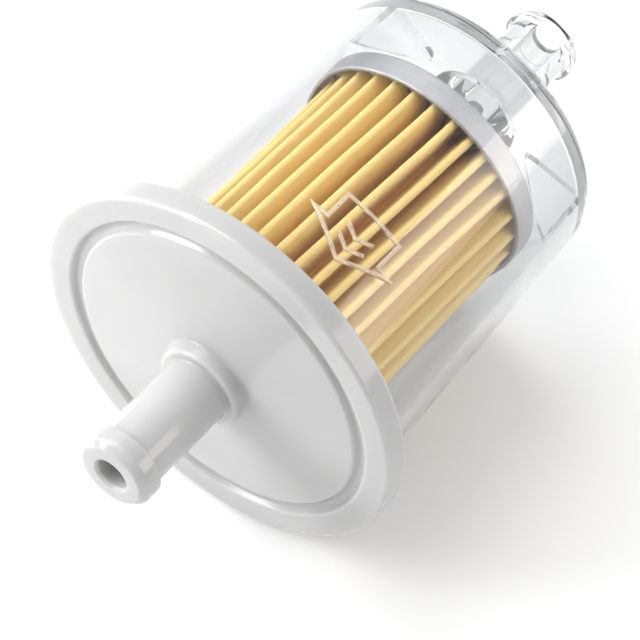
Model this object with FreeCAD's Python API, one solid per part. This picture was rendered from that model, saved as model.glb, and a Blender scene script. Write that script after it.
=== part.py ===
"""Inline pleated-paper fuel filter, in millimetres and degrees.

The X axis is the filter's axis and points the way the fuel flows: in at the clear bowl's spigot (-X),
out at the white cap's spigot (+X). +Z is up as the filter lies on its side. The origin is on the axis,
halfway between the two hose ends. Clock angles are counted round the axis from +Z towards +Y.
"""
import FreeCAD
import Part
import math
import os

Vec = FreeCAD.Vector
TOUCHING = 1e-6

# Housing
OVERALL_LENGTH = 86.9
FLANGE_RADIUS = 25.4
FLANGE_THICKNESS = 3.45
FLANGE_EDGE = 0.6
FLANGE_BACK_X = 20.95
BOWL_LENGTH = 46.0
BOWL_MOUTH_RADIUS = 21.8
BOWL_SHOULDER_RADIUS = 19.5
BOWL_SHOULDER_FILLET = 2.4
BOWL_WALL = 1.8
BOWL_CORNER_ROUND = 1.0
END_WALL_RISE = 2.6
CLOCKING = 23.5

# Common edge roundings
MOULD_ROUND = 0.3
SMALL_ROUND = 0.2

# Hose spigots, for hose of 8 mm bore
SPIGOT_RADIUS = 4.36
BEAD_RADIUS = 5.08
BEAD_LEAD = 0.9
BORE_RADIUS = 2.1
BORE_MOUTH = 0.35
OUTLET_BEAD_LENGTH = 3.0
INLET_BEAD_LENGTH = 2.2
SPIGOT_FLARE = 2.2
BEAD_NOSE_ROUND = 0.5
BEAD_CREST_ROUND = 0.8
BEAD_BACK_RUN = 0.25
BEAD_FOOT_ROUND = 0.15
FLARE_ROUND = 2.0
FLARE_FOOT_ROUND = 0.8
INLET_MOUTH_ROUND = 0.5

# Cap face
CAP_WALL = 1.8
COLLAR_RADIUS = 5.5
COLLAR_BASE_RADIUS = 5.8
COLLAR_RISE = 3.15
CONE_RISE = 1.35
GROOVE_INNER_RADIUS = 20.2
GROOVE_OUTER_RADIUS = 21.9
GROOVE_DEPTH = 0.95
GROOVE_SIDE = 0.3
GROOVE_ROUND = 0.25
COLLAR_ROUND = 0.5
COLLAR_FOOT_ROUND = 0.4
CONE_EDGE_DROP = 0.1

# Weld joint and element seat inside the cap
WELD_DEPTH = 1.5
WELD_GAP = 0.05
SKIRT_THICKNESS = 1.2
SKIRT_LENGTH = 1.2
SEAT_RIB_CLEARANCE = 0.2
SEAT_RIB_THICKNESS = 1.2
SEAT_RIB_LENGTH = 1.0
NECK_RADIUS = 4.4
NECK_LENGTH = 3.5
BOSS_RADIUS = 8.0
BOSS_DROP = 1.0

# Filter element, with its open end level with the flange's back face
ELEMENT_LENGTH = 37.6
PLATE_RADIUS = 16.2
PLATE_SHEET = 0.5
PLATE_LIP = 3.4
PLATE_EDGE = 0.45
PLATE_DISH_RADIUS = 6.4
PLATE_DISH_DEPTH = 0.8
PLATE_BEND_SHIFT = 0.2
PLATE_LIP_ROUND = 0.1
GLUE_DEPTH = 1.3
GLUE_UNDER = 0.3
GLUE_SPREAD = 0.2
PLEATS = 30
PLEAT_OUTER_RADIUS = 15.35
PLEAT_INNER_RADIUS = 8.35
PAPER_THICKNESS = 0.4
FOLD_RADIUS = 0.32
SEAM_DEPTH = 1.6
SEAM_BITE = 0.05

# Support core
CORE_RADIUS = 8.0
CORE_WALL = 0.9
CORE_COLUMNS = 8
CORE_ROWS = 5
CORE_WINDOW_WIDTH = 3.6
CORE_BAR_LENGTH = 1.6

# Rubber seal
SEAL_RADIUS = 7.4
SEAL_NECK_WALL = 0.8
SEAL_NECK_LENGTH = 2.1

# Inner corner ribs of the bowl
RIBS = 3
RIB_THICKNESS = 1.5
RIB_LENGTH = 8.3
RIB_HEIGHT = 8.3
RIB_ROOT = 0.6

# Raised flow arrow on the bowl
ARROW_TIP_FROM_FLANGE = 5.8
ARROW_HEAD_LENGTH = 4.2
ARROW_LENGTH = 8.3
ARROW_HEAD_WIDTH = 13.9
ARROW_SHAFT_WIDTH = 8.8
ARROW_LINE = 0.55
ARROW_RELIEF = 0.3
CHEVRON_LENGTH = 1.1
CHEVRON_WIDTH = 4.2
CHEVRON_PITCH = 1.9
CHEVRONS = 2
CHEVRON_SETBACK = 1.9

# Places that follow from the sizes above
OUTLET_TIP_X = OVERALL_LENGTH / 2
INLET_TIP_X = -OVERALL_LENGTH / 2
FLANGE_FRONT_X = FLANGE_BACK_X + FLANGE_THICKNESS
SHOULDER_X = FLANGE_BACK_X - BOWL_LENGTH
COLLAR_FRONT_X = FLANGE_FRONT_X + COLLAR_RISE
CONE_TOP_X = FLANGE_FRONT_X + CONE_RISE
DRAFT = (BOWL_MOUTH_RADIUS - BOWL_SHOULDER_RADIUS) / BOWL_LENGTH
OPEN_END_X = FLANGE_BACK_X
BLIND_END_X = OPEN_END_X - ELEMENT_LENGTH
CORE_INNER_RADIUS = CORE_RADIUS - CORE_WALL
SEAL_NECK_RADIUS = NECK_RADIUS + SEAL_NECK_WALL


def bowl_radius(x):
    """Outer radius of the bowl's drafted side wall at x."""
    return BOWL_MOUTH_RADIUS - DRAFT * (FLANGE_BACK_X - x)


def radial(x, radius, clock):
    """Point at a distance from the axis, at a clock angle."""
    angle = math.radians(clock)
    return Vec(x, radius * math.sin(angle), radius * math.cos(angle))


def rounded_wire(corners):
    """Closed wire through (x, r, corner radius) points in the XY plane, with tangent arcs at the corners."""
    points = [Vec(x, r, 0) for x, r, _ in corners]
    spans = []
    for i, (_, _, radius) in enumerate(corners):
        here = points[i]
        back = points[i - 1] - here
        ahead = points[(i + 1) % len(points)] - here
        if radius == 0:
            spans.append((here, None, here))
            continue
        half = back.getAngle(ahead) / 2
        back.normalize()
        ahead.normalize()
        reach = radius / math.tan(half)
        middle = back + ahead
        middle.normalize()
        centre = here + middle * (radius / math.sin(half))
        spans.append((here + back * reach, centre - middle * radius, here + ahead * reach))
    edges = []
    for i, (start, bulge, end) in enumerate(spans):
        if bulge is not None:
            edges.append(Part.Arc(start, bulge, end).toShape())
        following = spans[(i + 1) % len(spans)][0]
        if (following - end).Length > TOUCHING:
            edges.append(Part.makeLine(end, following))
    return Part.Wire(edges)


def turned(corners):
    """Solid of revolution about the X axis."""
    return Part.Face(rounded_wire(corners)).revolve(Vec(0, 0, 0), Vec(1, 0, 0), 360)


def ring(x_low, x_high, inner, outer):
    """Plain ring or disc between two planes."""
    return turned([(x_low, inner, 0), (x_high, inner, 0), (x_high, outer, 0), (x_low, outer, 0)])


def spigot_outline(tip_x, inward, bead_length):
    """Corners of a beaded hose spigot from its bore's mouth to its shank; inward is -1 or +1 along X."""
    bead_back_x = tip_x + inward * bead_length
    return [
        (tip_x + inward * BORE_MOUTH, BORE_RADIUS, 0),
        (tip_x, BORE_RADIUS + BORE_MOUTH, 0),
        (tip_x, BEAD_RADIUS - BEAD_LEAD, BEAD_NOSE_ROUND),
        (tip_x + inward * BEAD_LEAD, BEAD_RADIUS, BEAD_CREST_ROUND),
        (bead_back_x, BEAD_RADIUS, SMALL_ROUND),
        (bead_back_x + inward * BEAD_BACK_RUN, SPIGOT_RADIUS, BEAD_FOOT_ROUND),
    ]


def end_cap():
    """White cap: outlet spigot, collar, coned face, grooved flange, weld channel and element seat."""
    channel_outer = BOWL_MOUTH_RADIUS + WELD_GAP
    skirt_outer = BOWL_MOUTH_RADIUS - BOWL_WALL - 3 * WELD_GAP
    skirt_inner = skirt_outer - SKIRT_THICKNESS
    rib_inner = PLATE_RADIUS + SEAT_RIB_CLEARANCE
    rib_outer = rib_inner + SEAT_RIB_THICKNESS
    cone_edge_x = FLANGE_FRONT_X - CONE_EDGE_DROP
    slope = (CONE_TOP_X - cone_edge_x) / (GROOVE_INNER_RADIUS - COLLAR_BASE_RADIUS)

    def inner_face_x(radius):
        return CONE_TOP_X - slope * (radius - COLLAR_BASE_RADIUS) - CAP_WALL

    corners = spigot_outline(OUTLET_TIP_X, -1, OUTLET_BEAD_LENGTH) + [
        (COLLAR_FRONT_X, SPIGOT_RADIUS, MOULD_ROUND),
        (COLLAR_FRONT_X, COLLAR_RADIUS, COLLAR_ROUND),
        (CONE_TOP_X, COLLAR_BASE_RADIUS, COLLAR_FOOT_ROUND),
        (cone_edge_x, GROOVE_INNER_RADIUS, MOULD_ROUND),
        (FLANGE_FRONT_X - GROOVE_DEPTH, GROOVE_INNER_RADIUS + GROOVE_SIDE, GROOVE_ROUND),
        (FLANGE_FRONT_X - GROOVE_DEPTH, GROOVE_OUTER_RADIUS - GROOVE_SIDE, GROOVE_ROUND),
        (FLANGE_FRONT_X, GROOVE_OUTER_RADIUS, GROOVE_ROUND),
        (FLANGE_FRONT_X, FLANGE_RADIUS, FLANGE_EDGE),
        (FLANGE_BACK_X, FLANGE_RADIUS, FLANGE_EDGE),
        (FLANGE_BACK_X, channel_outer, 0),
        (FLANGE_BACK_X + WELD_DEPTH, channel_outer, 0),
        (FLANGE_BACK_X + WELD_DEPTH, skirt_outer, 0),
        (FLANGE_BACK_X - SKIRT_LENGTH, skirt_outer, 0),
        (FLANGE_BACK_X - SKIRT_LENGTH, skirt_inner, 0),
        (inner_face_x(skirt_inner), skirt_inner, 0),
        (inner_face_x(rib_outer), rib_outer, 0),
        (FLANGE_BACK_X - SEAT_RIB_LENGTH, rib_outer, 0),
        (FLANGE_BACK_X - SEAT_RIB_LENGTH, rib_inner, 0),
        (inner_face_x(rib_inner), rib_inner, 0),
        (inner_face_x(BOSS_RADIUS), BOSS_RADIUS, MOULD_ROUND),
        (FLANGE_BACK_X + BOSS_DROP, BOSS_RADIUS, MOULD_ROUND),
        (FLANGE_BACK_X + BOSS_DROP, NECK_RADIUS, 0),
        (FLANGE_BACK_X - NECK_LENGTH, NECK_RADIUS, MOULD_ROUND),
        (FLANGE_BACK_X - NECK_LENGTH, BORE_RADIUS, 0),
    ]
    return turned(corners)


def bowl_shell():
    """Clear bowl without its ribs and arrow: weld rim, drafted wall, coned end wall and inlet spigot."""
    end_wall_x = SHOULDER_X - END_WALL_RISE
    flare_radius = SPIGOT_RADIUS + SPIGOT_FLARE
    inner_mouth = BOWL_MOUTH_RADIUS - BOWL_WALL
    inner_shoulder = BOWL_SHOULDER_RADIUS - BOWL_WALL
    corners = spigot_outline(INLET_TIP_X, 1, INLET_BEAD_LENGTH) + [
        (end_wall_x - SPIGOT_FLARE, SPIGOT_RADIUS, FLARE_ROUND),
        (end_wall_x, flare_radius, FLARE_FOOT_ROUND),
        (SHOULDER_X, BOWL_SHOULDER_RADIUS, BOWL_SHOULDER_FILLET),
        (FLANGE_BACK_X, BOWL_MOUTH_RADIUS, 0),
        (FLANGE_BACK_X + WELD_DEPTH - WELD_GAP, BOWL_MOUTH_RADIUS, 0),
        (FLANGE_BACK_X + WELD_DEPTH - WELD_GAP, inner_mouth, 0),
        (FLANGE_BACK_X, inner_mouth, 0),
        (SHOULDER_X + BOWL_WALL, inner_shoulder, BOWL_CORNER_ROUND),
        (end_wall_x + BOWL_WALL, flare_radius, FLARE_FOOT_ROUND),
        (end_wall_x + BOWL_WALL, BORE_RADIUS, INLET_MOUTH_ROUND),
    ]
    return turned(corners)


def bowl_rib(clock):
    """Triangular gusset in the bowl's inner corner; its slope centres the element's blind plate."""
    wall_x = SHOULDER_X + BOWL_WALL
    start_x = wall_x + RIB_LENGTH
    wall_radius = bowl_radius(start_x) - BOWL_WALL
    inner_radius = bowl_radius(wall_x) - BOWL_WALL - RIB_HEIGHT
    end_x = wall_x - END_WALL_RISE * RIB_HEIGHT / BOWL_SHOULDER_RADIUS
    side = [
        Vec(start_x, 0, wall_radius),
        Vec(start_x, 0, wall_radius + RIB_ROOT),
        Vec(wall_x - RIB_ROOT, 0, bowl_radius(wall_x) - BOWL_WALL + RIB_ROOT),
        Vec(end_x - RIB_ROOT, 0, inner_radius),
        Vec(end_x, 0, inner_radius),
    ]
    plate = Part.Face(Part.makePolygon(side + side[:1])).extrude(Vec(0, RIB_THICKNESS, 0))
    plate.translate(Vec(0, -RIB_THICKNESS / 2, 0))
    plate.rotate(Vec(0, 0, 0), Vec(1, 0, 0), -clock)
    return plate


def flat_outline(points):
    """Face in the XY plane, bounded by (x, y) points."""
    corners = [Vec(x, y, 0) for x, y in points]
    return Part.Face(Part.makePolygon(corners + corners[:1]))


def arrow_points(inset):
    """Corners of the flow arrow's outline, moved in by inset on every side."""
    tip_x = FLANGE_BACK_X - ARROW_TIP_FROM_FLANGE
    head_x = tip_x - ARROW_HEAD_LENGTH
    tail_x = tip_x - ARROW_LENGTH + inset
    head = ARROW_HEAD_WIDTH / 2
    shaft = ARROW_SHAFT_WIDTH / 2 - inset
    slant = math.hypot(head, ARROW_HEAD_LENGTH)
    tip_inset = inset * slant / head
    barb_x = head_x + inset
    barb = (tip_x - tip_inset - barb_x) * head / ARROW_HEAD_LENGTH
    return [
        (tip_x - tip_inset, 0),
        (barb_x, barb),
        (barb_x, shaft),
        (tail_x, shaft),
        (tail_x, -shaft),
        (barb_x, -shaft),
        (barb_x, -barb),
    ]


def chevron_points(index):
    """Corners of one small plain chevron inside the arrow."""
    tip_x = FLANGE_BACK_X - ARROW_TIP_FROM_FLANGE - CHEVRON_SETBACK - index * CHEVRON_PITCH
    half = CHEVRON_WIDTH / 2
    return [
        (tip_x, 0),
        (tip_x - CHEVRON_LENGTH, half),
        (tip_x - CHEVRON_LENGTH - ARROW_LINE, half),
        (tip_x - ARROW_LINE, 0),
        (tip_x - CHEVRON_LENGTH - ARROW_LINE, -half),
        (tip_x - CHEVRON_LENGTH, -half),
    ]


def flow_mark():
    """Raised arrow outline and chevrons, trimmed to a thin layer over the bowl's side."""
    outline = flat_outline(arrow_points(0)).cut(flat_outline(arrow_points(ARROW_LINE)))
    faces = [outline] + [flat_outline(chevron_points(i)) for i in range(CHEVRONS)]
    high = FLANGE_BACK_X
    low = SHOULDER_X
    skin = turned([
        (low, bowl_radius(low) - ARROW_RELIEF, 0),
        (low, bowl_radius(low) + ARROW_RELIEF, 0),
        (high, bowl_radius(high) + ARROW_RELIEF, 0),
        (high, bowl_radius(high) - ARROW_RELIEF, 0),
    ])
    mark = Part.makeCompound([face.extrude(Vec(0, 0, FLANGE_RADIUS)) for face in faces]).common(skin)
    mark.rotate(Vec(0, 0, 0), Vec(1, 0, 0), -CLOCKING)
    return mark


def bowl():
    """Clear bowl with its inner ribs at 60 degrees each side of the flow mark, and one opposite it."""
    ribs = [bowl_rib(CLOCKING + 60 + 360 * i / RIBS) for i in range(RIBS)]
    return bowl_shell().fuse(ribs + flow_mark().Solids).removeSplitter()


def element_plate(outer_x, inward, hole_radius):
    """Pressed cup at one end of the element; inward is the X direction that its lip points in."""
    base_x = outer_x + inward * PLATE_SHEET
    lip_x = outer_x + inward * PLATE_LIP
    rim = [
        (base_x, PLATE_RADIUS - PLATE_SHEET, SMALL_ROUND),
        (lip_x, PLATE_RADIUS - PLATE_SHEET, PLATE_LIP_ROUND),
        (lip_x, PLATE_RADIUS, SMALL_ROUND),
        (outer_x, PLATE_RADIUS, PLATE_EDGE),
    ]
    if hole_radius:
        collar_x = outer_x + inward * PLATE_LIP
        collar_radius = hole_radius + PLATE_SHEET
        centre = [
            (outer_x, hole_radius, MOULD_ROUND),
            (collar_x, hole_radius, 0),
            (collar_x, collar_radius, 0),
            (base_x, collar_radius, SMALL_ROUND),
        ]
    else:
        dish_x = outer_x + inward * PLATE_DISH_DEPTH
        slope_radius = PLATE_DISH_RADIUS - PLATE_DISH_DEPTH
        centre = [
            (outer_x, PLATE_DISH_RADIUS, MOULD_ROUND),
            (dish_x, slope_radius, MOULD_ROUND),
            (dish_x, 0, 0),
            (dish_x + inward * PLATE_SHEET, 0, 0),
            (dish_x + inward * PLATE_SHEET, slope_radius + PLATE_BEND_SHIFT, MOULD_ROUND),
            (base_x, PLATE_DISH_RADIUS + PLATE_BEND_SHIFT, MOULD_ROUND),
        ]
    return turned(centre + rim)


def pleat_pitch(offset):
    """Edges of one pleat of the sheet's surface, offset outwards from its middle; x is 0."""
    half = PAPER_THICKNESS / 2
    step = math.pi / PLEATS
    outer_centre = Vec(0, 0, PLEAT_OUTER_RADIUS - FOLD_RADIUS - half)
    inner_distance = PLEAT_INNER_RADIUS + FOLD_RADIUS + half
    inner_centre = Vec(0, inner_distance * math.sin(step), inner_distance * math.cos(step))
    run = inner_centre - outer_centre
    turn = math.atan2(run.y, run.z) - math.acos(2 * FOLD_RADIUS / run.Length)
    normal = Vec(0, math.sin(turn), math.cos(turn))
    mirrored = Vec(0, -normal.y, normal.z)
    outer_fold = FOLD_RADIUS + offset
    inner_fold = FOLD_RADIUS - offset
    outer_start = outer_centre + mirrored * outer_fold
    outer_end = outer_centre + normal * outer_fold
    inner_start = inner_centre - normal * inner_fold
    bottom = inner_centre - Vec(0, math.sin(step), math.cos(step)) * inner_fold
    next_wall = Vec(0, -inner_start.y, inner_start.z)
    inner_end = radial_turn(next_wall, 2 * step)
    next_outer = radial_turn(outer_start, 2 * step)
    return [
        Part.Arc(outer_start, outer_centre + Vec(0, 0, outer_fold), outer_end).toShape(),
        Part.makeLine(outer_end, inner_start),
        Part.Arc(inner_start, bottom, inner_end).toShape(),
        Part.makeLine(inner_end, next_outer),
    ]


def radial_turn(point, angle):
    """Point in the YZ plane turned about the axis from +Z towards +Y, in radians."""
    return Vec(
        0,
        point.y * math.cos(angle) + point.z * math.sin(angle),
        point.z * math.cos(angle) - point.y * math.sin(angle),
    )


def pleat_wire(offset):
    """The whole folded line, one pleat repeated round the axis."""
    edges = []
    for i in range(PLEATS):
        for edge in pleat_pitch(offset):
            edge.rotate(Vec(0, 0, 0), Vec(1, 0, 0), -360 * i / PLEATS)
            edges.append(edge)
    return Part.Wire(Part.__sortEdges__(edges))


def pleated_paper():
    """Folded sheet of even thickness, standing in the glue of both end plates."""
    sheet = Part.Face(pleat_wire(PAPER_THICKNESS / 2)).cut(Part.Face(pleat_wire(-PAPER_THICKNESS / 2)))
    low = BLIND_END_X + PLATE_SHEET + GLUE_UNDER
    high = OPEN_END_X - PLATE_SHEET - GLUE_UNDER
    sheet.translate(Vec(low, 0, 0))
    paper = sheet.extrude(Vec(high - low, 0, 0))
    paper.rotate(Vec(0, 0, 0), Vec(1, 0, 0), -CLOCKING)
    return paper


def support_core():
    """Perforated tube inside the pleats, with rows of windows between its bars."""
    low = BLIND_END_X + PLATE_SHEET + GLUE_UNDER
    high = OPEN_END_X - PLATE_SHEET - GLUE_UNDER
    core = ring(low, high, CORE_INNER_RADIUS, CORE_RADIUS)
    first = low + GLUE_DEPTH + CORE_BAR_LENGTH
    last = high - GLUE_DEPTH - CORE_BAR_LENGTH
    window_length = (last - first + CORE_BAR_LENGTH) / CORE_ROWS - CORE_BAR_LENGTH
    windows = []
    for row in range(CORE_ROWS):
        start = first + row * (window_length + CORE_BAR_LENGTH)
        for column in range(CORE_COLUMNS):
            window = Part.makeBox(window_length, CORE_WINDOW_WIDTH, CORE_RADIUS + 1)
            window.translate(Vec(start, -CORE_WINDOW_WIDTH / 2, 0))
            window.rotate(Vec(0, 0, 0), Vec(1, 0, 0), -360 * column / CORE_COLUMNS)
            windows.append(window)
    return core.cut(windows)


def glue_ring(outer_x, inward, paper, core, inner_radius):
    """Potting glue in an end plate, round the ends of the paper and the core."""
    base_x = outer_x + inward * PLATE_SHEET
    top_x = base_x + inward * GLUE_DEPTH
    low, high = min(base_x, top_x), max(base_x, top_x)
    blank = ring(low, high, inner_radius, PLATE_RADIUS - PLATE_SHEET)
    return blank.cut([paper, core])


def element_seal():
    """Rubber grommet round the cap's neck, with a flange squeezed under the open end plate."""
    under_x = FLANGE_BACK_X + BOSS_DROP
    neck_x = OPEN_END_X - SEAL_NECK_LENGTH
    return turned([
        (under_x, NECK_RADIUS, 0),
        (neck_x, NECK_RADIUS, 0),
        (neck_x, SEAL_NECK_RADIUS, SMALL_ROUND),
        (OPEN_END_X, SEAL_NECK_RADIUS, 0),
        (OPEN_END_X, SEAL_RADIUS, SMALL_ROUND),
        (under_x, SEAL_RADIUS, SMALL_ROUND),
    ])


def seam_adhesive(paper):
    """Bead of glue in the bottom of the lowest valley, where the two ends of the sheet meet."""
    clock = CLOCKING + 180 + 180 / PLEATS
    low = BLIND_END_X + PLATE_SHEET + GLUE_DEPTH
    high = OPEN_END_X - PLATE_SHEET - GLUE_DEPTH
    bottom = PLEAT_INNER_RADIUS + PAPER_THICKNESS
    half_width = FOLD_RADIUS * 2
    strip = Part.makeBox(high - low, 2 * half_width, SEAM_DEPTH)
    strip.translate(Vec(low, -half_width, bottom - SEAM_BITE))
    strip.rotate(Vec(0, 0, 0), Vec(1, 0, 0), -clock)
    pieces = strip.cut(paper).Solids
    outward = radial(0, 1, clock)
    return max(pieces, key=lambda piece: piece.CenterOfMass.dot(outward))


def build():
    """Every piece of the filter, by node name."""
    paper = pleated_paper()
    core = support_core()
    blind_glue_inner = CORE_INNER_RADIUS - GLUE_SPREAD
    open_glue_inner = SEAL_NECK_RADIUS + PLATE_SHEET + GLUE_SPREAD
    return {
        "end_cap": end_cap(),
        "bowl": bowl(),
        "pleated_paper": paper,
        "support_core": core,
        "blind_end_plate": element_plate(BLIND_END_X, 1, 0),
        "open_end_plate": element_plate(OPEN_END_X, -1, SEAL_NECK_RADIUS),
        "blind_end_adhesive": glue_ring(BLIND_END_X, 1, paper, core, blind_glue_inner),
        "open_end_adhesive": glue_ring(OPEN_END_X, -1, paper, core, open_glue_inner),
        "element_seal": element_seal(),
        "seam_adhesive": seam_adhesive(paper),
    }


def export(nodes):
    """Write one STEP file per node."""
    os.makedirs("parts", exist_ok=True)
    for name, shape in nodes.items():
        if len(shape.Solids) == 1:
            shape = shape.Solids[0]
        shape.exportStep(f"parts/{name}.step")
        print(f"{name}: {len(shape.Solids)} solid, valid {shape.isValid()}, {shape.Volume:.1f} mm3")


export(build())
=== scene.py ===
"""Looks of the inline fuel filter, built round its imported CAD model.

Shape tables are in millimetres, and meshes are in metres. The X axis is the filter's axis, with the white
cap at +X. Clock angles run round it from +Z towards +Y.
"""
import bpy
import bmesh
import math
import random
from mathutils import Matrix, Vector


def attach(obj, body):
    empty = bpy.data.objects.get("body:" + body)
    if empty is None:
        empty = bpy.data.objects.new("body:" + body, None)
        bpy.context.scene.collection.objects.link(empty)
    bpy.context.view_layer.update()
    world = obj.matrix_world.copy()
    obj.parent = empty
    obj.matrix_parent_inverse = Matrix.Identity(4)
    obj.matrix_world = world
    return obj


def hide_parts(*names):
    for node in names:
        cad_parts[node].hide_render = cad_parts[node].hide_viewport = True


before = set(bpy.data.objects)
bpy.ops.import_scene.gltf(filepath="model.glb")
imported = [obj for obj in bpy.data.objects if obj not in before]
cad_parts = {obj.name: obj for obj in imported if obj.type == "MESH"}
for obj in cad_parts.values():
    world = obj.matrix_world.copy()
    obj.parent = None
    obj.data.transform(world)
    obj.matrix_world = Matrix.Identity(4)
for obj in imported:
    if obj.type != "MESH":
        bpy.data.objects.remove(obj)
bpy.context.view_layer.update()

MM = 0.001
TAU = 2 * math.pi

# Housing, as the CAD has it
OVERALL_LENGTH = 86.9
TIP_X = OVERALL_LENGTH / 2
FLANGE_RADIUS = 25.4
FLANGE_BACK_X = 20.95
FLANGE_FRONT_X = 24.4
BOWL_LENGTH = 46.0
SHOULDER_X = FLANGE_BACK_X - BOWL_LENGTH
BOWL_MOUTH_RADIUS = 21.8
BOWL_SHOULDER_RADIUS = 19.5
BOWL_WALL = 1.8
END_WALL_RISE = 2.6
DRAFT = (BOWL_MOUTH_RADIUS - BOWL_SHOULDER_RADIUS) / BOWL_LENGTH
CLOCKING = 23.5
SPIGOT_RADIUS = 4.36
BEAD_RADIUS = 5.08
BEAD_LEAD = 0.9
BORE_RADIUS = 2.1
SPIGOT_FLARE = 2.2
WELD_DEPTH = 1.5
WELD_GAP = 0.05
RIM_CLEARANCE = 0.01
RIBS = 3
RIB_REACH = 8.3
RIB_HALF_THICKNESS = 0.75
RIB_ROOT = 0.6
RIB_EDGE = 0.25

# Flow mark on the bowl
ARROW_TIP_X = FLANGE_BACK_X - 5.8
ARROW_HEAD_LENGTH = 4.2
ARROW_LENGTH = 8.3
ARROW_HALF_HEAD = 6.95
ARROW_HALF_SHAFT = 4.4
ARROW_LINE = 0.55
ARROW_RELIEF = 0.3
CHEVRONS = 2
CHEVRON_PITCH = 1.9
CHEVRON_LENGTH = 1.1
CHEVRON_HALF_WIDTH = 2.0

# Paper element
PAPER_LOW_X = -15.85
PAPER_HIGH_X = 20.15
PLEAT_OUTER = 15.2
PLEAT_INNER = 8.5
FOLD = 0.3
PAPER_HALF = 0.19
FACING_CLOCK = 20.8
PACK_SHIFT = 0.3
TWIST_PER_MM = 4.4 / 30
TWIST_CENTRE_X = 3.0
PLEATS = 30
STATIONS = 44
PAPER_SEED = 11


# ---------------------------------------------------------------- meshes

def ride_on_root(obj, slot, *nodes):
    """Puts a finished piece in the scene, standing for its CAD nodes."""
    bpy.context.scene.collection.objects.link(obj)
    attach(obj, "root")
    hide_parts(*nodes)
    return obj


def smooth(mesh, angle=32):
    """Smooth shading, with sharp edges where faces meet at more than an angle."""
    mesh.shade_smooth()
    mesh.set_sharp_from_angle(angle=math.radians(angle))


def rounded(corners, step=11.0, hold=0.07):
    """Points of a closed outline through (x, r, corner radius), with holding points beside its arcs."""
    points = [Vector((x, r)) for x, r, _ in corners]
    spans = []
    for i, (_, _, radius) in enumerate(corners):
        here = points[i]
        if not radius:
            spans.append([here])
            continue
        back = (points[i - 1] - here).normalized()
        ahead = (points[(i + 1) % len(points)] - here).normalized()
        half = back.angle(ahead) / 2
        centre = here + (back + ahead).normalized() * (radius / math.sin(half))
        start = here + back * (radius / math.tan(half)) - centre
        turn = start.angle_signed(here + ahead * (radius / math.tan(half)) - centre)
        count = max(2, round(abs(math.degrees(turn)) / step))
        arc = []
        for k in range(count + 1):
            arc.append(centre + Matrix.Rotation(-turn * k / count, 2) @ start)
        spans.append(arc)
    outline = []
    for i, span in enumerate(spans):
        outline += span
        following = spans[(i + 1) % len(spans)]
        gap = following[0] - span[-1]
        if gap.length > 4 * hold:
            if len(span) > 1:
                outline.append(span[-1] + gap.normalized() * hold)
            if len(following) > 1:
                outline.append(following[0] - gap.normalized() * hold)
    return [(p.x, p.y) for p in outline]


def lathe(name, outline, segments):
    """Closed surface of revolution of an outline about the X axis."""
    vertices = []
    for k in range(segments):
        angle = TAU * k / segments
        for x, r in outline:
            vertices.append((x * MM, r * MM * math.sin(angle), r * MM * math.cos(angle)))
    count = len(outline)
    faces = []
    for k in range(segments):
        here, there = k * count, (k + 1) % segments * count
        for i in range(count):
            j = (i + 1) % count
            faces.append((here + i, here + j, there + j, there + i))
    mesh = bpy.data.meshes.new(name)
    mesh.from_pydata(vertices, [], faces)
    outward(mesh)
    return bpy.data.objects.new(name, mesh)


def outward(mesh):
    """Turns the faces of a closed mesh to point out."""
    bm = bmesh.new()
    bm.from_mesh(mesh)
    bmesh.ops.recalc_face_normals(bm, faces=bm.faces)
    bm.to_mesh(mesh)
    bm.free()


def united(name, base, others):
    """One mesh object from a solid and the solids that grow out of it."""
    scene = bpy.context.scene.collection
    for obj in [base] + others:
        scene.objects.link(obj)
    for other in others:
        modifier = base.modifiers.new("union", "BOOLEAN")
        modifier.operation = "UNION"
        modifier.solver = "MANIFOLD"
        modifier.object = other
    graph = bpy.context.evaluated_depsgraph_get()
    mesh = bpy.data.meshes.new_from_object(base.evaluated_get(graph), depsgraph=graph)
    mesh.name = name
    for obj in [base] + others:
        bpy.data.objects.remove(obj)
    return bpy.data.objects.new(name, mesh)


def spigot_outline(tip_x, inward, bead_length):
    """Corners of a beaded hose spigot from its bore's mouth to its shank."""
    back_x = tip_x + inward * bead_length
    return [
        (tip_x + inward * 0.35, BORE_RADIUS, 0.3),
        (tip_x, BORE_RADIUS + 0.35, 0.12),
        (tip_x, BEAD_RADIUS - BEAD_LEAD, 0.5),
        (tip_x + inward * BEAD_LEAD, BEAD_RADIUS, 0.8),
        (back_x, BEAD_RADIUS, 0.2),
        (back_x + inward * 0.25, SPIGOT_RADIUS, 0.15),
    ]


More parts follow.
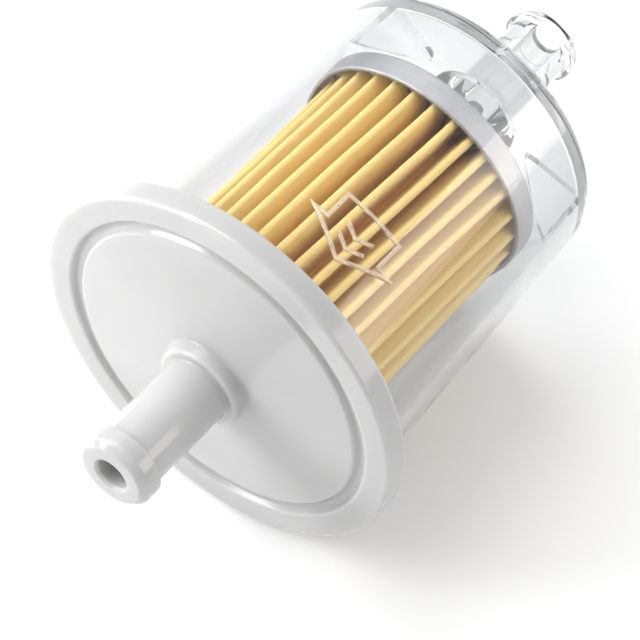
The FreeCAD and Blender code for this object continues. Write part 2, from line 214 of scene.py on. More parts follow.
def end_cap():
    """White cap with its outlet spigot, collar, coned face, grooved flange and weld channel."""
    front = FLANGE_FRONT_X
    back = FLANGE_BACK_X
    channel_outer = BOWL_MOUTH_RADIUS + WELD_GAP
    skirt_outer = BOWL_MOUTH_RADIUS - BOWL_WALL - 3 * WELD_GAP
    skirt_inner = skirt_outer - 1.2
    inner_x = front - 1.4
    rim_radius = FLANGE_RADIUS - RIM_CLEARANCE
    outline = rounded(spigot_outline(TIP_X, -1, 3.0) + [
        (front + 3.15, SPIGOT_RADIUS, 0.3),
        (front + 3.15, 5.5, 0.5),
        (front + 1.35, 5.8, 0.45),
        (front - 0.1, 20.1, 0.6),
        (front - 0.8, 20.65, 0.5),
        (front - 0.8, 21.45, 0.4),
        (front, 21.9, 0.45),
        (front, rim_radius, 0.6),
        (back, rim_radius, 0.6),
        (back, channel_outer, 0.0),
        (back + WELD_DEPTH, channel_outer, 0.0),
        (back + WELD_DEPTH, skirt_outer, 0.0),
        (back - 1.2, skirt_outer, 0.2),
        (back - 1.2, skirt_inner, 0.2),
        (inner_x - 0.45, skirt_inner, 0.2),
        (inner_x, 8.0, 0.3),
        (back + 1.0, 8.0, 0.3),
        (back + 1.0, 4.4, 0.0),
        (back - 3.5, 4.4, 0.4),
        (back - 3.5, BORE_RADIUS, 0.0),
    ])
    cap = lathe("end_cap_moulding", outline, 288)
    smooth(cap.data)
    return cap


def bowl_radius(x):
    """Outer radius of the bowl's side wall at x."""
    return BOWL_MOUTH_RADIUS - DRAFT * (FLANGE_BACK_X - x)


def bowl_shell():
    """Clear bowl without its ribs and flow mark."""
    end_x = SHOULDER_X - END_WALL_RISE
    flare = SPIGOT_RADIUS + SPIGOT_FLARE
    mouth = BOWL_MOUTH_RADIUS - BOWL_WALL
    rim_x = FLANGE_BACK_X + WELD_DEPTH - WELD_GAP
    outline = rounded(spigot_outline(-TIP_X, 1, 2.2) + [
        (end_x - SPIGOT_FLARE, SPIGOT_RADIUS, 2.0),
        (end_x, flare, 0.8),
        (SHOULDER_X, BOWL_SHOULDER_RADIUS, 2.4),
        (FLANGE_BACK_X, BOWL_MOUTH_RADIUS, 0.0),
        (rim_x, BOWL_MOUTH_RADIUS, 0.0),
        (rim_x, mouth, 0.0),
        (FLANGE_BACK_X, mouth, 0.0),
        (SHOULDER_X + BOWL_WALL, BOWL_SHOULDER_RADIUS - BOWL_WALL, 1.0),
        (end_x + BOWL_WALL, flare, 0.8),
        (end_x + BOWL_WALL, BORE_RADIUS, 0.5),
    ])
    return lathe("bowl_shell", outline, 320)


def bowl_rib(clock):
    """Triangular gusset in the bowl's inner corner, with eased edges."""
    wall_x = SHOULDER_X + BOWL_WALL
    start_x = wall_x + RIB_REACH
    wall_r = bowl_radius(start_x) - BOWL_WALL
    corner_r = bowl_radius(wall_x) - BOWL_WALL
    inner_r = corner_r - RIB_REACH
    end_x = wall_x - END_WALL_RISE * RIB_REACH / BOWL_SHOULDER_RADIUS
    side = [
        (start_x, wall_r),
        (start_x, wall_r + RIB_ROOT),
        (wall_x - RIB_ROOT, corner_r + RIB_ROOT),
        (end_x - RIB_ROOT, inner_r),
        (end_x, inner_r),
    ]
    half = RIB_HALF_THICKNESS
    bm = bmesh.new()
    low = [bm.verts.new((x * MM, -half * MM, r * MM)) for x, r in side]
    high = [bm.verts.new((x * MM, half * MM, r * MM)) for x, r in side]
    bm.faces.new(low)
    bm.faces.new(high)
    for i in range(len(side)):
        j = (i + 1) % len(side)
        bm.faces.new((low[i], low[j], high[j], high[i]))
    bm.edges.ensure_lookup_table()
    ends = ({low[0], low[4]}, {high[0], high[4]})
    slope = [e for e in bm.edges if {e.verts[0], e.verts[1]} in ends]
    bmesh.ops.bevel(bm, geom=slope, offset=RIB_EDGE * MM, segments=3, profile=0.5, affect="EDGES")
    bmesh.ops.recalc_face_normals(bm, faces=bm.faces)
    bm.transform(Matrix.Rotation(-math.radians(clock), 4, "X"))
    mesh = bpy.data.meshes.new("rib")
    bm.to_mesh(mesh)
    bm.free()
    return bpy.data.objects.new("rib", mesh)


def on_bowl(x, side, height):
    """Point over the bowl's wall at the flow mark: side is across it, height is above the wall."""
    r = bowl_radius(x) + height
    y, z = side, math.sqrt(r * r - side * side)
    angle = math.radians(CLOCKING)
    return Vector((
        x * MM,
        (y * math.cos(angle) + z * math.sin(angle)) * MM,
        (z * math.cos(angle) - y * math.sin(angle)) * MM,
    ))


def raised_line(name, corners, closed):
    """Rounded raised line on the bowl, swept along (x, side) corners with mitred turns."""
    half = ARROW_LINE / 2
    section = [
        (-1.05, -0.3), (-1.0, 0.08), (-0.86, 0.2), (-0.5, 0.28), (0.0, ARROW_RELIEF),
        (0.5, 0.28), (0.86, 0.2), (1.0, 0.08), (1.05, -0.3),
    ]
    points = [Vector(c) for c in corners]
    count = len(points)
    stations = []
    for i in range(count if closed else count - 1):
        start, end = points[i], points[(i + 1) % count]
        along = (end - start).normalized()
        across = Vector((-along.y, along.x))

        def mitre(at, neighbour, sign):
            if neighbour is None:
                return across
            other = ((at - neighbour) * sign).normalized()
            mean = (across + Vector((-other.y, other.x))).normalized()
            return mean / mean.dot(across)

        before = points[i - 1] if closed or i > 0 else None
        after = points[(i + 2) % count] if closed or i < count - 2 else None
        first, last = mitre(start, before, 1), mitre(end, after, -1)
        pieces = max(1, math.ceil((end - start).length / 0.5))
        for k in range(pieces + (0 if closed or i < count - 2 else 1)):
            t = k / pieces
            offset = first if k == 0 else last if t == 1 else across
            stations.append((start.lerp(end, t), offset))
    vertices = []
    for at, offset in stations:
        for w, height in section:
            place = at + offset * (w * half)
            vertices.append(on_bowl(place.x, place.y, height))
    width = len(section)
    total = len(stations)
    faces = []
    for k in range(total if closed else total - 1):
        here, there = k * width, (k + 1) % total * width
        for i in range(width):
            j = (i + 1) % width
            faces.append((here + i, here + j, there + j, there + i))
    if not closed:
        faces.append(tuple(range(width)))
        faces.append(tuple(range((total - 1) * width, total * width)))
    mesh = bpy.data.meshes.new(name)
    mesh.from_pydata(vertices, [], faces)
    outward(mesh)
    return bpy.data.objects.new(name, mesh)


def flow_mark():
    """Arrow outline that points to the cap, and two small chevrons inside it."""
    inset = ARROW_LINE / 2
    slant = math.hypot(ARROW_HALF_HEAD, ARROW_HEAD_LENGTH)
    tip = ARROW_TIP_X - inset * slant / ARROW_HALF_HEAD
    barb_x = ARROW_TIP_X - ARROW_HEAD_LENGTH + inset
    barb = (tip - barb_x) * ARROW_HALF_HEAD / ARROW_HEAD_LENGTH
    shaft = ARROW_HALF_SHAFT - inset
    tail = ARROW_TIP_X - ARROW_LENGTH + inset
    outline = [
        (tip, 0), (barb_x, barb), (barb_x, shaft), (tail, shaft),
        (tail, -shaft), (barb_x, -shaft), (barb_x, -barb),
    ]
    marks = [raised_line("arrow", outline, True)]
    for i in range(CHEVRONS):
        nose = ARROW_TIP_X - CHEVRON_PITCH - inset - i * CHEVRON_PITCH
        tail = nose - CHEVRON_LENGTH
        corners = [(tail, CHEVRON_HALF_WIDTH), (nose, 0), (tail, -CHEVRON_HALF_WIDTH)]
        marks.append(raised_line("chevron", corners, False))
    return marks


def bowl():
    """Clear bowl in one mesh, with its ribs and flow mark grown out of the wall."""
    ribs = [bowl_rib(CLOCKING + 60 + 360 * i / RIBS) for i in range(RIBS)]
    clear = united("clear_bowl", bowl_shell(), ribs + flow_mark())
    smooth(clear.data)
    return clear


def ridge_clocks(draw):
    """Clock angle of each pleat ridge halfway along: uneven, as the paper was gathered."""
    facing = [
        -61.5, -49.8, -38.8, -27.9, -16.7, -5.6, 5.3, 15.2, 24.6, 34.6, 47.6, 60.4, 73.4,
    ]
    clocks = [FACING_CLOCK + a for a in facing]
    rest = PLEATS - len(facing)
    room = 360 - (facing[-1] - facing[0])
    for k in range(rest):
        even = clocks[len(facing) - 1] + room * (k + 1) / (rest + 1)
        clocks.append(even + draw.uniform(-1.6, 1.6))
    clocks.sort()
    return clocks


def tangent_wall(ridge, valley, side):
    """Touch points of the straight wall between a ridge's fold and a valley's; side is +1 or -1."""
    run = valley - ridge
    turn = side * math.acos(2 * FOLD / run.length)
    normal = (Matrix.Rotation(turn, 2) @ run).normalized()
    return normal, ridge + normal * FOLD, valley - normal * FOLD


def arc_points(centre, start, end, bulge, count):
    """Points on a fold's arc between two unit normals, through the bulge direction."""
    a = math.atan2(start.y, start.x)
    b = math.atan2(end.y, end.x)
    m = math.atan2(bulge.y, bulge.x)
    first = (m - a + math.pi) % TAU - math.pi
    second = (b - m + math.pi) % TAU - math.pi
    points = []
    for k in range(count):
        t = 2 * k / (count - 1)
        angle = a + first * min(t, 1) + second * max(t - 1, 0)
        points.append(centre + Vector((math.cos(angle), math.sin(angle))) * FOLD)
    return points


def pleat_line(ridges, valleys, bows):
    """Middle line of the folded sheet at one station, from ridge and valley (clock, radius) pairs."""
    def polar(clock, radius):
        angle = math.radians(clock)
        return Vector((math.sin(angle), math.cos(angle))) * radius

    count = len(ridges)
    tops = [polar(c, r - FOLD) for c, r in ridges]
    bottoms = [polar(c, r + FOLD) for c, r in valleys]
    line = []
    for i in range(count):
        left_normal, _, _ = tangent_wall(tops[i], bottoms[i - 1], -1)
        right_normal, right_top, right_bottom = tangent_wall(tops[i], bottoms[i], 1)
        next_normal, next_top, next_bottom = tangent_wall(tops[(i + 1) % count], bottoms[i], -1)
        line += arc_points(tops[i], left_normal, right_normal, tops[i].normalized(), 7)
        wall = (right_top, right_bottom, right_normal, bows[2 * i])
        back = (next_bottom, next_top, next_normal, bows[2 * i + 1])
        line += bowed(*wall)
        line += arc_points(bottoms[i], -right_normal, -next_normal, -bottoms[i].normalized(), 5)
        line += bowed(*back)
    return line


def bowed(start, end, normal, bow):
    """Points between a wall's ends, pushed sideways into a slight S."""
    points = []
    for k in range(1, 6):
        t = k / 6
        points.append(start.lerp(end, t) + normal * (bow * math.sin(math.pi * t)))
    return points


def pleated_paper():
    """Folded sheet of paper with its own thickness, slightly uneven, twisted along its length."""
    draw = random.Random(PAPER_SEED)
    clocks = ridge_clocks(draw)
    pleats = len(clocks)
    stations = STATIONS
    waves = []
    for i in range(pleats):
        sizes = [draw.uniform(-1, 1) for _ in range(6)]
        phases = [draw.uniform(0, TAU) for _ in range(4)]
        waves.append(sizes + phases)
    shift_angle = math.radians(FACING_CLOCK + 90)
    shift = Vector((math.sin(shift_angle), math.cos(shift_angle))) * PACK_SHIFT
    outer, inner = [], []
    for s in range(stations):
        t = s / (stations - 1)
        x = PAPER_LOW_X + (PAPER_HIGH_X - PAPER_LOW_X) * t
        free = math.sin(math.pi * t) ** 0.6
        twist = (TWIST_CENTRE_X - x) * TWIST_PER_MM
        ridges, valleys, bows = [], [], []
        for i in range(pleats):
            a = waves[i]
            slow = 0.5 * a[0] * math.sin(3.1 * t + a[6])
            quick = 0.22 * a[1] * math.sin(9 * t + a[7])
            wander = free * (slow + quick)
            radius = PLEAT_OUTER - 0.12 * abs(a[2]) - free * 0.09 * (1 + math.sin(5 * t + a[8]))
            ridges.append((clocks[i] + twist + wander, radius))
        for i in range(pleats):
            a = waves[i]
            ahead = (clocks[(i + 1) % pleats] - clocks[i]) % 360
            middle = clocks[i] + ahead * (0.5 + 0.07 * a[3])
            wander = free * 0.4 * a[4] * math.sin(4 * t + a[9])
            valleys.append((middle + twist + wander, PLEAT_INNER + 0.15 * abs(a[5])))
            bows.append(free * 0.13 * a[0] + 0.03 * math.sin(7 * t + a[7]))
            bows.append(free * 0.13 * a[4] + 0.03 * math.sin(8 * t + a[6]))
        line = [p + shift for p in pleat_line(ridges, valleys, bows)]
        count = len(line)
        for k, p in enumerate(line):
            along = (line[(k + 1) % count] - line[k - 1]).normalized()
            normal = Vector((-along.y, along.x))
            for side, store in ((1, outer), (-1, inner)):
                q = p + normal * (side * PAPER_HALF)
                store.append((x * MM, q.x * MM, q.y * MM))
    vertices = outer + inner
    base = len(outer)
    count = base // stations
    faces = []
    for s in range(stations - 1):
        for k in range(count):
            j = (k + 1) % count
            a, b = s * count + k, s * count + j
            c, d = b + count, a + count
            faces.append((a, b, c, d))
            faces.append((base + a, base + d, base + c, base + b))
    for s in (0, stations - 1):
        for k in range(count):
            j = (k + 1) % count
            a, b = s * count + k, s * count + j
            faces.append((a, b, base + b, base + a))
    mesh = bpy.data.meshes.new("folded_paper")
    mesh.from_pydata(vertices, [], faces)
    outward(mesh)
    smooth(mesh, 50)
    return bpy.data.objects.new("folded_paper", mesh)


# ---------------------------------------------------------------- materials

class Nodes:
    """Small helper that builds one node material."""

    def __init__(self, name):
        self.material = bpy.data.materials.new(name)
        self.material.use_nodes = True
        self.tree = self.material.node_tree
        self.tree.nodes.clear()
        self.output = self.add("ShaderNodeOutputMaterial")
        self.place = self.add("ShaderNodeTexCoord").outputs["Object"]

    def add(self, kind, values=None, **settings):
        node = self.tree.nodes.new(kind)
        for key, value in settings.items():
            setattr(node, key, value)
        for key, value in (values or {}).items():
            if isinstance(value, bpy.types.NodeSocket):
                self.tree.links.new(value, node.inputs[key])
            else:
                node.inputs[key].default_value = value
        return node

    def noise(self, scale, detail=3.0, stretch=None, roughness=0.5, distortion=0.0):
        """Noise over the object, in cells per metre, optionally stretched."""
        place = self.place
        if stretch:
            place = self.add("ShaderNodeMapping", {"Vector": place, "Scale": stretch}).outputs[0]
        return self.add("ShaderNodeTexNoise", {
            "Vector": place, "Scale": scale, "Detail": detail, "Roughness": roughness,
            "Distortion": distortion,
        }).outputs["Fac"]

    def ranged(self, value, from_low, from_high, to_low, to_high):
        """Value moved from one range to another, clamped."""
        return self.add("ShaderNodeMapRange", {
            "Value": value, "From Min": from_low, "From Max": from_high,
            "To Min": to_low, "To Max": to_high,
        }).outputs[0]

    def ramp(self, value, *stops):
        """Colour ramp through (position, (r, g, b)) stops."""
        node = self.add("ShaderNodeValToRGB", {"Fac": value})
        elements = node.color_ramp.elements
        while len(elements) < len(stops):
            elements.new(0.5)
        for element, (position, colour) in zip(elements, stops):
            element.position = position
            element.color = (*colour, 1)
        return node.outputs[0]

    def mix(self, share, low, high):
        """Colour mix of two colours or sockets."""
        node = self.add("ShaderNodeMix", {}, data_type="RGBA")
        for socket, value in ((node.inputs[0], share), (node.inputs[6], low), (node.inputs[7], high)):
            if isinstance(value, bpy.types.NodeSocket):
                self.tree.links.new(value, socket)
            else:
                socket.default_value = value if isinstance(value, float) else (*value, 1)
        return node.outputs[2]

    def times(self, first, second):
        """Product of two colour sockets."""
        node = self.add("ShaderNodeMix", {0: 1.0}, data_type="RGBA", blend_type="MULTIPLY")
        self.tree.links.new(first, node.inputs[6])
        self.tree.links.new(second, node.inputs[7])
        return node.outputs[2]

    def math(self, operation, first, second):
        return self.add("ShaderNodeMath", {0: first, 1: second}, operation=operation).outputs[0]

    def radius(self):
        """Distance from the filter's axis, in metres."""
        parts = self.add("ShaderNodeSeparateXYZ", {"Vector": self.place})
        square = self.math("ADD", self.math("MULTIPLY", parts.outputs[1], parts.outputs[1]),
                           self.math("MULTIPLY", parts.outputs[2], parts.outputs[2]))
        return self.math("SQRT", square, 0.0)

    def around(self):
        """Vector of (angle round the axis, distance from it, place along it) for turned or moulded marks."""
        parts = self.add("ShaderNodeSeparateXYZ", {"Vector": self.place})
        angle = self.math("ARCTAN2", parts.outputs[1], parts.outputs[2])
        return self.add("ShaderNodeCombineXYZ", {
            "X": self.math("MULTIPLY", angle, 0.01), "Y": self.radius(), "Z": parts.outputs[0],
        }).outputs[0]

    def bump(self, height, strength, distance, normal=None):
        values = {"Height": height, "Strength": strength, "Distance": distance}
        if normal is not None:
            values["Normal"] = normal
        return self.add("ShaderNodeBump", values).outputs[0]

    def principled(self, values):
        return self.add("ShaderNodeBsdfPrincipled", values).outputs[0]

    def finish(self, shader, volume=None):
        self.tree.links.new(shader, self.output.inputs["Surface"])
        if volume:
            self.tree.links.new(volume, self.output.inputs["Volume"])
        return self.material


CLEAR_BOUNCES = 4


def clear_plastic():
    """Clear moulded plastic: near colourless, glossy, faintly wavy, frosted on the raised flow mark, and greyed at
    glancing angles by painted shade.

    Its index is lower than a real plastic's, and from a ray's fifth bounce on it lets light straight through, so
    that the thick end stays clear.
    """
    n = Nodes("clear_plastic")
    waves = n.noise(120, 1.0)
    haze = n.noise(900, 3.0)
    normal = n.bump(waves, 0.12, 0.0003)
    along = n.add("ShaderNodeSeparateXYZ", {"Vector": n.place}).outputs[0]
    wall = n.ranged(
        along, SHOULDER_X * MM, FLANGE_BACK_X * MM, BOWL_SHOULDER_RADIUS * MM, BOWL_MOUTH_RADIUS * MM,
    )
    relief = n.math("SUBTRACT", n.radius(), wall)
    # Painted shade: a view-angle ramp greys the glass colour at glancing angles, drawing grey bands along the bowl's
    # sides.
    facing = n.add("ShaderNodeLayerWeight", {"Blend": 0.5}).outputs["Facing"]
    glancing_shade = n.ramp(
        facing, (0.2, (1, 1, 1)), (0.45, (0.88, 0.88, 0.885)), (0.64, (0.70, 0.705, 0.71)),
        (0.8, (0.92, 0.92, 0.925)), (1.0, (0.97, 0.97, 0.97)),
    )
    tint = n.ramp(waves, (0.3, (0.975, 0.98, 0.984)), (0.7, (0.99, 0.993, 0.995)))
    past_end_wall = n.ranged(along, -0.0285, -0.0265, 0.0, 1.0)
    spigot = n.ramp(past_end_wall, (0.0, (0.9, 0.9, 0.905)), (1.0, (1, 1, 1)))
    glass = n.principled({
        "Base Color": n.times(n.times(glancing_shade, tint), spigot),
        "Roughness": n.ranged(haze, 0.35, 0.7, 0.012, 0.045),
        "IOR": 1.3,
        "Transmission Weight": 1.0,
        "Coat Weight": n.ranged(relief, -0.0004, -0.0001, 0.0, 0.5),
        "Coat Roughness": 0.2,
        "Coat IOR": 1.5,
        "Normal": normal,
    })
    frosted = n.principled({
        "Base Color": n.ramp(haze, (0.3, (0.92, 0.80, 0.66)), (0.7, (0.95, 0.86, 0.74))),
        "Roughness": n.ranged(haze, 0.35, 0.7, 0.25, 0.4),
        "IOR": 1.3,
        "Transmission Weight": 0.45,
        "Normal": normal,
    })
    mark = n.ranged(relief, 0.00005, 0.0002, 0.0, 0.8)
    body = n.add("ShaderNodeMixShader", {0: mark, 1: glass, 2: frosted}).outputs[0]
    open_side = n.add("ShaderNodeBsdfTransparent", {"Color": (0.93, 0.935, 0.94, 1)}).outputs[0]
    path = n.add("ShaderNodeLightPath")
    spent = n.math("GREATER_THAN", path.outputs["Ray Depth"], CLEAR_BOUNCES + 0.5)
    ahead = n.add("ShaderNodeBsdfTransparent", {"Color": (0.97, 0.97, 0.97, 1)}).outputs[0]
    body = n.add("ShaderNodeMixShader", {0: spent, 1: body, 2: ahead}).outputs[0]
    in_shadow = path.outputs["Is Shadow Ray"]
    shader = n.add("ShaderNodeMixShader", {0: in_shadow, 1: body, 2: open_side}).outputs[0]
    depth = n.add("ShaderNodeVolumeAbsorption", {
        "Color": (0.03, 0.04, 0.06, 1), "Density": 18.0,
    }).outputs[0]
    return n.finish(shader, depth)


def white_plastic():
    """White moulded plastic, satin gloss, slightly translucent, with faint flow marks and orange peel."""
    n = Nodes("white_nylon")
    clouds = n.noise(90, 3.0)
    peel = n.noise(1400, 2.0)
    flow = n.add("ShaderNodeTexNoise", {
        "Vector": n.around(), "Scale": 420.0, "Detail": 2.0, "Roughness": 0.4,
    }).outputs["Fac"]
    normal = n.bump(peel, 0.05, 0.00005)
    normal = n.bump(flow, 0.06, 0.00012, normal)
    shader = n.principled({
        "Base Color": n.ramp(clouds, (0.3, (0.50, 0.50, 0.50)), (0.7, (0.53, 0.53, 0.53))),
        "Roughness": n.ranged(n.noise(260, 3.0), 0.3, 0.7, 0.11, 0.19),
        "IOR": 1.5,
        "Subsurface Weight": 0.6,
        "Subsurface Radius": (1.0, 0.98, 0.95),
        "Subsurface Scale": 0.0025,
        "Normal": normal,
    })
    return n.finish(shader)


def filter_paper():
    """Resin-treated filter paper: golden and fibrous, with painted light on the outer folds and painted shade, a
    deeper orange, in the valleys.
    """
    n = Nodes("filter_paper")
    radius = n.radius()
    fibres = n.noise(2600, 4.0, (0.35, 1.0, 1.0), 0.6)
    blotches = n.noise(160, 3.0, (0.4, 1.0, 1.0))
    base = n.ramp(blotches, (0.3, (0.71, 0.49, 0.15)), (0.7, (0.75, 0.54, 0.18)))
    grained = n.mix(n.ranged(fibres, 0.3, 0.7, 0.0, 0.35), base, (0.72, 0.55, 0.23))
    # Painted light: the outer folds get a tone of their own, set for how light falls on the ridges rather than from
    # the paper's colour, broken up by noise.
    fold = n.ranged(radius, 0.0145, 0.0156, 0.0, 0.85)
    ridge_light_breakup = n.ranged(n.noise(1200, 2.0, (0.2, 1.0, 1.0)), 0.25, 0.6, 0.55, 1.0)
    ridge_light = n.math("MULTIPLY", fold, ridge_light_breakup)
    with_ridge_light = n.mix(ridge_light, grained, (0.65, 0.485, 0.20))
    # Painted shade: towards the inner folds the paper turns a more saturated orange, standing in for the coloured
    # shade deep in the valleys.
    valley_shade = n.ranged(radius, 0.009, 0.0142, 0.85, 0.0)
    colour = n.mix(valley_shade, with_ridge_light, (0.99, 0.50, 0.02))
    emboss = n.noise(800, 2.0, (0.25, 1.0, 1.0))
    normal = n.bump(fibres, 0.35, 0.00006)
    normal = n.bump(emboss, 0.25, 0.00012, normal)
    shader = n.principled({
        "Base Color": colour,
        "Roughness": n.ranged(fibres, 0.3, 0.7, 0.5, 0.72),
        "IOR": 1.45,
        "Subsurface Weight": 0.3,
        "Subsurface Radius": (1.0, 0.6, 0.25),
        "Subsurface Scale": 0.0012,
        "Sheen Weight": 0.15,
        "Normal": normal,
    })
    return n.finish(shader)


def plated_steel():
    """Satin tin plate with fine pressing marks round it."""
    n = Nodes("plated_steel")
    stretched = n.add("ShaderNodeMapping", {
        "Vector": n.around(), "Scale": (12.0, 260.0, 260.0),
    }).outputs[0]
    streaks = n.add("ShaderNodeTexNoise", {
        "Vector": stretched, "Scale": 9.0, "Detail": 4.0, "Roughness": 0.6,
    }).outputs["Fac"]
    stains = n.noise(220, 3.0)
    shader = n.principled({
        "Base Color": n.ramp(stains, (0.3, (0.42, 0.43, 0.445)), (0.7, (0.50, 0.51, 0.525))),
        "Metallic": 1.0,
        "Roughness": n.ranged(streaks, 0.3, 0.7, 0.55, 0.68),
        "Normal": n.bump(streaks, 0.12, 0.00004),
    })
    return n.finish(shader)


def potting_adhesive():
    """Cured potting, dull, with a slightly rippled skin."""
    n = Nodes("potting_adhesive")
    ripples = n.noise(500, 3.0)
    shader = n.principled({
        "Base Color": n.ramp(ripples, (0.3, (0.30, 0.25, 0.27)), (0.7, (0.38, 0.33, 0.34))),
        "Roughness": n.ranged(ripples, 0.3, 0.7, 0.35, 0.55),
        "Normal": n.bump(ripples, 0.4, 0.0002),
    })
    return n.finish(shader)


def plain_moulding(name, low, high, rough):
    """Plastic or rubber of a hidden piece, with a fine moulded grain."""
    n = Nodes(name)
    grain = n.noise(1500, 3.0)
    shader = n.principled({
        "Base Color": n.ramp(n.noise(180, 3.0), (0.3, low), (0.7, high)),
        "Roughness": n.ranged(grain, 0.3, 0.7, rough - 0.08, rough + 0.08),
        "Normal": n.bump(grain, 0.15, 0.00005),
    })
    return n.finish(shader)


def floor_material():
    n = Nodes("studio_floor")
    clouds = n.noise(6, 2.0)
    shader = n.principled({
        "Base Color": n.ramp(clouds, (0.3, (0.96, 0.96, 0.96)), (0.7, (0.97, 0.97, 0.97))),
        "Roughness": 0.8,
        "Specular IOR Level": 0.15,
    })
    return n.finish(shader)


def paint(obj, material):
    """Gives a piece or a CAD node its material on the object's own slot."""
    if not obj.material_slots:
        obj.data.materials.append(None)
    for entry in obj.material_slots:
        entry.link = "OBJECT"
        entry.material = material


# ---------------------------------------------------------------- stage

UP = Vector((0.1274, 0.0, 0.9919)).normalized()
FLOOR_GAP = 0.02 * MM


def lowest(pieces):
    """How far down the shown pieces reach, against the stage's own up."""
    return min(UP.dot(v.co) for piece in pieces for v in piece.data.vertices)


def studio_floor(height):
    """Large pale sheet that the filter lies on, gently dished up far away."""
    size, count = 3.0, 48
    across = Vector((0, 1, 0))
    along = UP.cross(across) * -1
    vertices, faces = [], []
    for i in range(count + 1):
        for j in range(count + 1):
            u = size * (i / count - 0.5)
            v = size * (j / count - 0.5)
            rise = 0.25 * max(0.0, math.hypot(u, v) - 0.9) ** 2
            vertices.append(along * u + across * v + UP * (height + rise))
    for i in range(count):
        for j in range(count):
            a = i * (count + 1) + j
            faces.append((a, a + 1, a + count + 2, a + count + 1))
    mesh = bpy.data.meshes.new("studio_floor")
    mesh.from_pydata(vertices, [], faces)
    mesh.shade_smooth()
    floor = bpy.data.objects.new("studio_floor", mesh)
    bpy.context.scene.collection.objects.link(floor)
    return floor


def area_light(name, toward, distance, size, power, colour=(1, 1, 1)):
    """Soft box that looks at the filter from a direction. The size is its two sides."""
    lamp = bpy.data.lights.new(name, "AREA")
    lamp.shape = "RECTANGLE"
    lamp.size, lamp.size_y = size
    lamp.energy = power
    lamp.color = colour
    obj = bpy.data.objects.new(name, lamp)
    direction = Vector(toward).normalized()
    obj.location = direction * distance
    obj.rotation_mode = "QUATERNION"
    obj.rotation_quaternion = direction.to_track_quat("Z", "Y")
    obj.visible_camera = False
    bpy.context.scene.collection.objects.link(obj)
    return obj


DARK_TOWARD = Vector((-0.504, 0.12, 0.85)).normalized()


def studio_world(strength):
    """Even pale surroundings. A first mirror image of them has one dark patch, so that the clear bowl stays clear."""
    world = bpy.data.worlds.new("studio")
    bpy.context.scene.world = world
    world.use_nodes = True
    tree = world.node_tree
    tree.nodes.clear()
    link = tree.links.new

    def node(kind, **settings):
        made = tree.nodes.new(kind)
        for key, value in settings.items():
            setattr(made, key, value)
        return made

    def toward(direction):
        dot = node("ShaderNodeVectorMath", operation="DOT_PRODUCT")
        dot.inputs[1].default_value = direction
        link(place.outputs["Generated"], dot.inputs[0])
        return dot.outputs["Value"]

    def both(first, second):
        product = node("ShaderNodeMath", operation="MULTIPLY")
        link(first, product.inputs[0])
        link(second, product.inputs[1])
        return product.outputs[0]

    place = node("ShaderNodeTexCoord")
    path = node("ShaderNodeLightPath")
    ramp = node("ShaderNodeValToRGB")
    pale, dark = ramp.color_ramp.elements
    pale.position, pale.color = 0.55, (1, 1, 1, 1)
    dark.position, dark.color = 0.88, (0.06, 0.06, 0.06, 1)
    link(toward(DARK_TOWARD), ramp.inputs[0])

    sky = node("ShaderNodeMapRange")
    for key, value in {"From Min": 0.0, "From Max": 0.7, "To Min": 0.55, "To Max": 1.0}.items():
        sky.inputs[key].default_value = value
    link(toward(UP), sky.inputs[0])

    first = node("ShaderNodeMath", operation="LESS_THAN")
    first.inputs[1].default_value = 1.5
    link(path.outputs["Ray Depth"], first.inputs[0])
    mirrored = both(path.outputs["Is Glossy Ray"], path.outputs["Is Reflection Ray"])
    seen = node("ShaderNodeMix", data_type="RGBA")
    link(both(mirrored, first.outputs[0]), seen.inputs[0])
    link(sky.outputs[0], seen.inputs[6])
    link(ramp.outputs[0], seen.inputs[7])

    background = node("ShaderNodeBackground")
    background.inputs[1].default_value = strength
    link(seen.outputs[2], background.inputs[0])
    link(background.outputs[0], node("ShaderNodeOutputWorld").inputs[0])


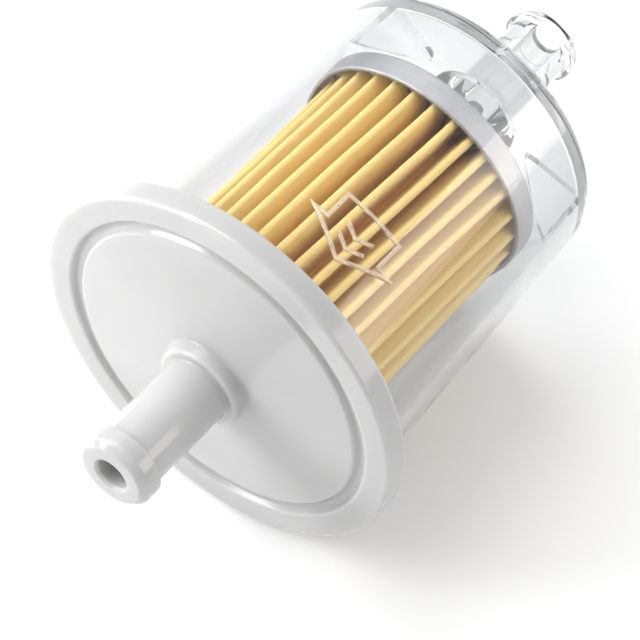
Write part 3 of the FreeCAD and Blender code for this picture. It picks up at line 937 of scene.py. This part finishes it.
def camera():
    """Camera above the cap end, looking down along the filter."""
    right = Vector((-0.6065, 0.7912, 0.0779)).normalized()
    forward = Vector((-0.5038, -0.3067, -0.8075)).normalized()
    right = (right - forward * right.dot(forward)).normalized()
    up = right.cross(forward)
    data = bpy.data.cameras.new("camera")
    data.lens = 193.7
    data.sensor_width = 36.0
    data.clip_start = 0.01
    data.clip_end = 20.0
    obj = bpy.data.objects.new("camera", data)
    turn = Matrix((right, up, -forward)).transposed().to_4x4()
    obj.matrix_world = Matrix.Translation(Vector((215.6, 129.8, 328.9)) * MM) @ turn
    bpy.context.scene.collection.objects.link(obj)
    bpy.context.scene.camera = obj


# ---------------------------------------------------------------- scene

cap = ride_on_root(end_cap(), "white_nylon", "end_cap")
clear = ride_on_root(bowl(), "clear_plastic", "bowl")
paper = ride_on_root(pleated_paper(), "filter_paper", "pleated_paper")

steel = plated_steel()
potting = potting_adhesive()
paint(cap, white_plastic())
paint(clear, clear_plastic())
paint(paper, filter_paper())
paint(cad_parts["blind_end_plate"], steel)
paint(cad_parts["open_end_plate"], steel)
paint(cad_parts["blind_end_adhesive"], potting)
paint(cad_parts["open_end_adhesive"], potting)
for node, name, low, high, rough in (
    ("support_core", "core_plastic", (0.66, 0.64, 0.58), (0.74, 0.72, 0.66), 0.5),
    ("element_seal", "nitrile_rubber", (0.02, 0.02, 0.021), (0.035, 0.035, 0.036), 0.6),
    ("seam_adhesive", "seam_glue", (0.60, 0.42, 0.16), (0.70, 0.52, 0.24), 0.4),
):
    paint(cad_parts[node], plain_moulding(name, low, high, rough))

floor = studio_floor(lowest([cap, clear]) - FLOOR_GAP)
paint(floor, floor_material())
studio_world(0.6)
area_light("key", (-0.1, -0.55, 0.85), 0.6, (0.32, 0.32), 1.6)
area_light("front", (0.55, -0.65, 0.35), 0.24, (0.12, 0.12), 0.46)
top = area_light("top", (0.0, 0.5, 0.86), 0.6, (0.4, 0.4), 0.75)
top.visible_glossy = False
fill = area_light("fill", (-0.2, 0.65, 0.75), 0.6, (0.4, 0.4), 0.25)
fill.visible_glossy = False
card = area_light("side_card", (-0.5, 0.8, 0.35), 0.6, (0.45, 0.3), 1.6, (1.0, 0.92, 0.87))
card.visible_diffuse = False
camera()
bpy.context.scene.view_settings.view_transform = "Standard"
